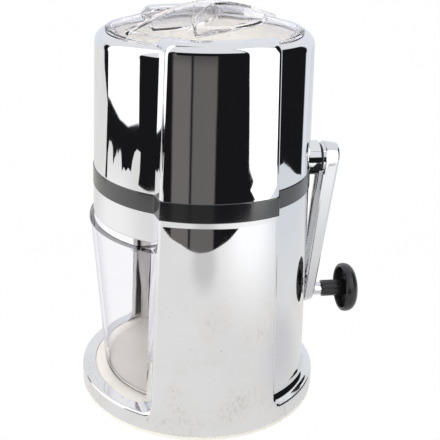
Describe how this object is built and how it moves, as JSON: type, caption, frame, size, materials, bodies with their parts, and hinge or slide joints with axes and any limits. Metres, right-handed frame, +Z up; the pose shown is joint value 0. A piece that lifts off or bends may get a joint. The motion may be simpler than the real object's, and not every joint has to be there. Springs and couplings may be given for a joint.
{
  "type": "ice shaver with crank",
  "caption": "Chromed hand-cranked ice shaver: round body with raised side panels, clear lid, crank with knob, and a clear pull-out cup below a toothed rotor.",
  "frame": {"origin": "centre of the round foot plate, in the plane that the part stands on, on the axis of the body", "axes": "+Z up along the axis of the body; -Y is the front, where the cup is pulled out; +Y is the crank side; +-X are the raised side panels"},
  "size_m": [0.1518, 0.1809, 0.2451],
  "materials": {
    "chrome": "mirror chrome plating",
    "band": "satin charcoal moulding",
    "ivory": "satin ivory moulding",
    "foot": "matt cream moulding",
    "clear_lid": "clear polycarbonate",
    "clear_cup": "clear polycarbonate",
    "knob_black": "satin black moulding",
    "chamber_grey": "grey moulding",
    "bearing": "natural nylon",
    "steel": "stainless steel",
    "fastener": "zinc-plated steel"
  },
  "bodies": {
    "housing": {"lower_shell": "chrome", "upper_shell": "chrome", "shaft_boss": "chrome", "belt_band": "band", "base_plate": "ivory", "bay_liner": "ivory", "hopper": "ivory", "deck_plate": "ivory", "outlet_sleeve": "ivory", "foot_plate": "foot", "crush_chamber": "chamber_grey", "front_bush": "bearing", "rear_bush": "bearing", "boss_bush": "bearing", "comb_left": "steel", "comb_right": "steel", "base_screws": "fastener", "shell_screws": "fastener", "deck_screws": "fastener", "chamber_screws": "fastener", "comb_rivets": "fastener"},
    "crank": {"drive_shaft": "steel", "tine_1": "steel", "tine_2": "steel", "tine_3": "steel", "tine_4": "steel", "spacer_1": "steel", "spacer_2": "steel", "spacer_3": "steel", "spacer_4": "steel", "spacer_5": "steel", "shaft_circlip": "fastener", "crank_washer": "knob_black", "crank_arm": "chrome", "crank_screw": "fastener", "knob_pin": "fastener", "knob_clip": "fastener"},
    "knob": {"crank_knob": "knob_black"},
    "lid": {"lid": "clear_lid"},
    "cup": {"ice_cup": "clear_cup"}
  },
  "joints": [
    {"name": "crank_spin", "type": "hinge", "parent": "housing", "child": "crank", "pos_m": [0, 0.0723, 0.15], "axis": [0, 1, 0], "continuous": true},
    {"name": "knob_spin", "type": "hinge", "parent": "crank", "child": "knob", "pos_m": [0, 0.09, 0.0586], "axis": [0, 1, 0], "continuous": true},
    {"name": "lid_lift", "type": "slide", "parent": "housing", "child": "lid", "axis": [0, 0, 1], "range_m": [0, 0.06]},
    {"name": "cup_slide", "type": "slide", "parent": "housing", "child": "cup", "axis": [0, -1, 0], "range_m": [0, 0.15]}
  ]
}
